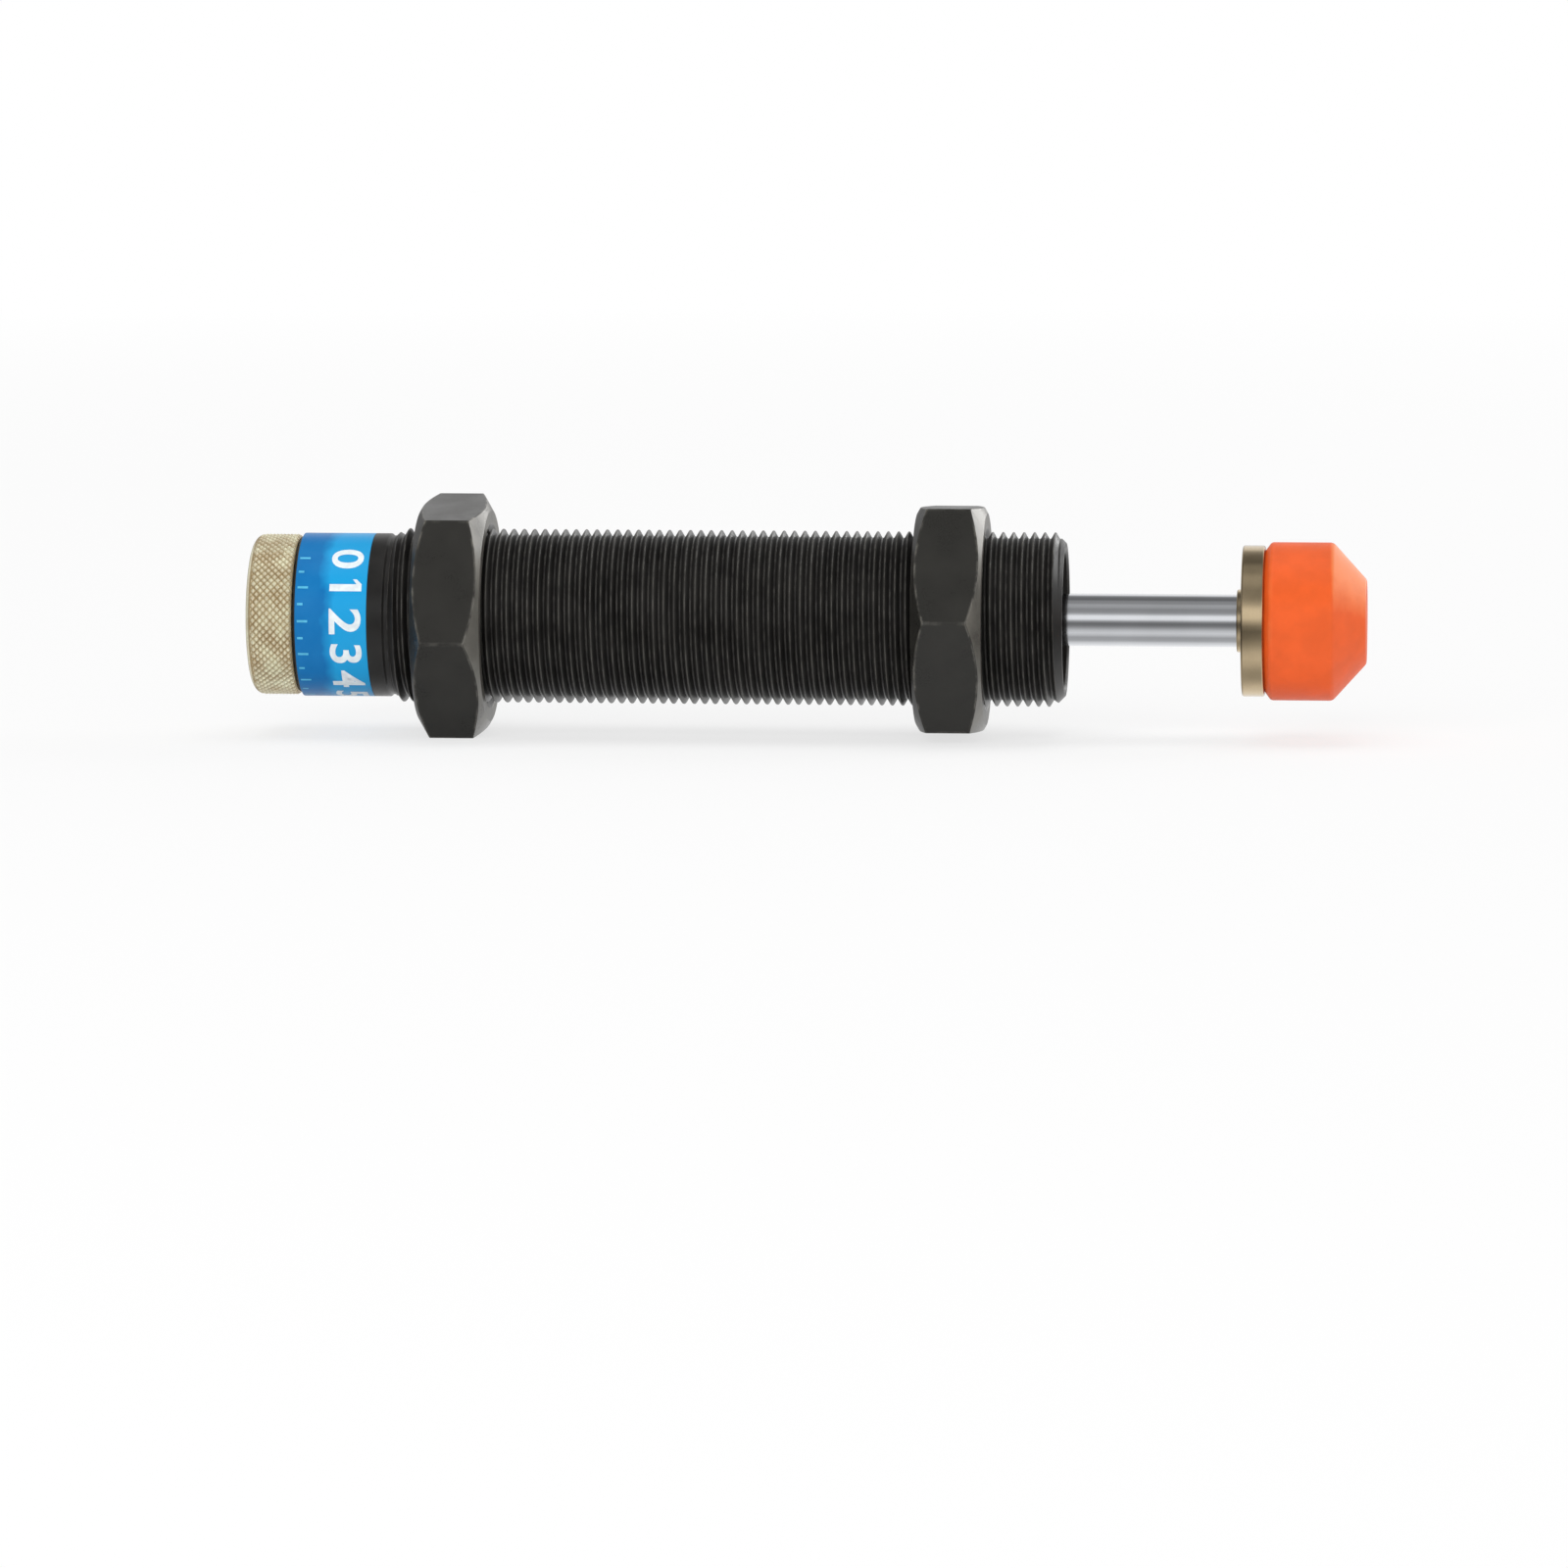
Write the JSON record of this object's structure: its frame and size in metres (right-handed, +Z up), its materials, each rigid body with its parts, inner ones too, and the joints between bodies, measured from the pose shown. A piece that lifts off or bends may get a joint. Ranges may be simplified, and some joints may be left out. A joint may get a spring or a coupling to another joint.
{
  "type": "adjustable hydraulic shock absorber",
  "caption": "Adjustable hydraulic shock absorber: externally threaded steel body with hexagon lock nuts, knurled metering knob, chromed rod and coned urethane bumper.",
  "frame": {"origin": "on the absorber's axis, in the plane of the threaded body's front face", "axes": "+X along the axis, the way the rod and its bumper point; +Z up as it lies; the adjusting knob is at the -X end"},
  "size_m": [0.16, 0.0368, 0.0342],
  "materials": {
    "body_steel": "black-oxide steel with a light oil film",
    "nut_steel": "black-oxide steel, edges worn a little lighter",
    "scale_film": "glossy blue printed film",
    "knob_nickel": "warm nickel plate over a fine diamond knurl",
    "cap_steel": "turned steel, polished, faint turning marks",
    "rod_chrome": "ground and hard-chromed steel",
    "bumper_urethane": "cast orange urethane, satin",
    "bearing_bronze": "machined bearing bronze",
    "inner_steel": "machined steel, oiled",
    "screw_steel": "black alloy steel screw",
    "spring_steel": "hardened spring steel",
    "seal_rubber": "black nitrile rubber",
    "foam": "closed-cell nitrile foam",
    "ring_polymer": "filled slide polymer"
  },
  "bodies": {
    "housing": {"outer_body": "body_steel", "scale_label": "scale_film", "front_bearing": "bearing_bronze", "retaining_ring": "spring_steel", "wiper_seal": "seal_rubber", "rod_seal": "seal_rubber", "rod_guide": "inner_steel", "guide_ring_seal": "seal_rubber", "accumulator_foam": "foam", "pressure_tube": "inner_steel", "tube_base": "inner_steel", "fill_screw": "screw_steel", "return_spring": "spring_steel"},
    "adjuster": {"adjuster_knob": "knob_nickel", "knob_lock_screw": "screw_steel", "adjuster_shaft": "inner_steel", "shaft_ring_seal": "seal_rubber", "shaft_circlip": "spring_steel", "metering_sleeve": "bearing_bronze"},
    "plunger": {"piston_rod": "rod_chrome", "rod_end_cap": "cap_steel", "urethane_bumper": "bumper_urethane", "piston": "inner_steel", "piston_ring": "ring_polymer", "piston_nut": "screw_steel"},
    "check_valve": {"check_disc": "spring_steel"},
    "rear_nut": {"rear_lock_nut": "nut_steel"},
    "front_nut": {"front_lock_nut": "nut_steel"}
  },
  "joints": [
    {"name": "plunger_stroke", "type": "slide", "parent": "housing", "child": "plunger", "axis": [-1, 0, 0], "range_m": [0, 0.025], "stiffness_N_per_m": 1100, "springref_m": -0.013, "deforming": ["return_spring"]},
    {"name": "adjuster_turn", "type": "hinge", "parent": "housing", "child": "adjuster", "pos_m": [-0.11, 0, 0], "axis": [1, 0, 0], "range_deg": [-120, 96]},
    {"name": "rear_nut_travel", "type": "slide", "parent": "housing", "child": "rear_nut", "axis": [1, 0, 0], "range_m": [-0.0032, 0.0296]},
    {"name": "front_nut_travel", "type": "slide", "parent": "housing", "child": "front_nut", "axis": [1, 0, 0], "range_m": [-0.0305, 0.01]},
    {"name": "check_disc_float", "type": "slide", "parent": "plunger", "child": "check_valve", "axis": [-1, 0, 0], "range_m": [0, 0.0005]}
  ]
}
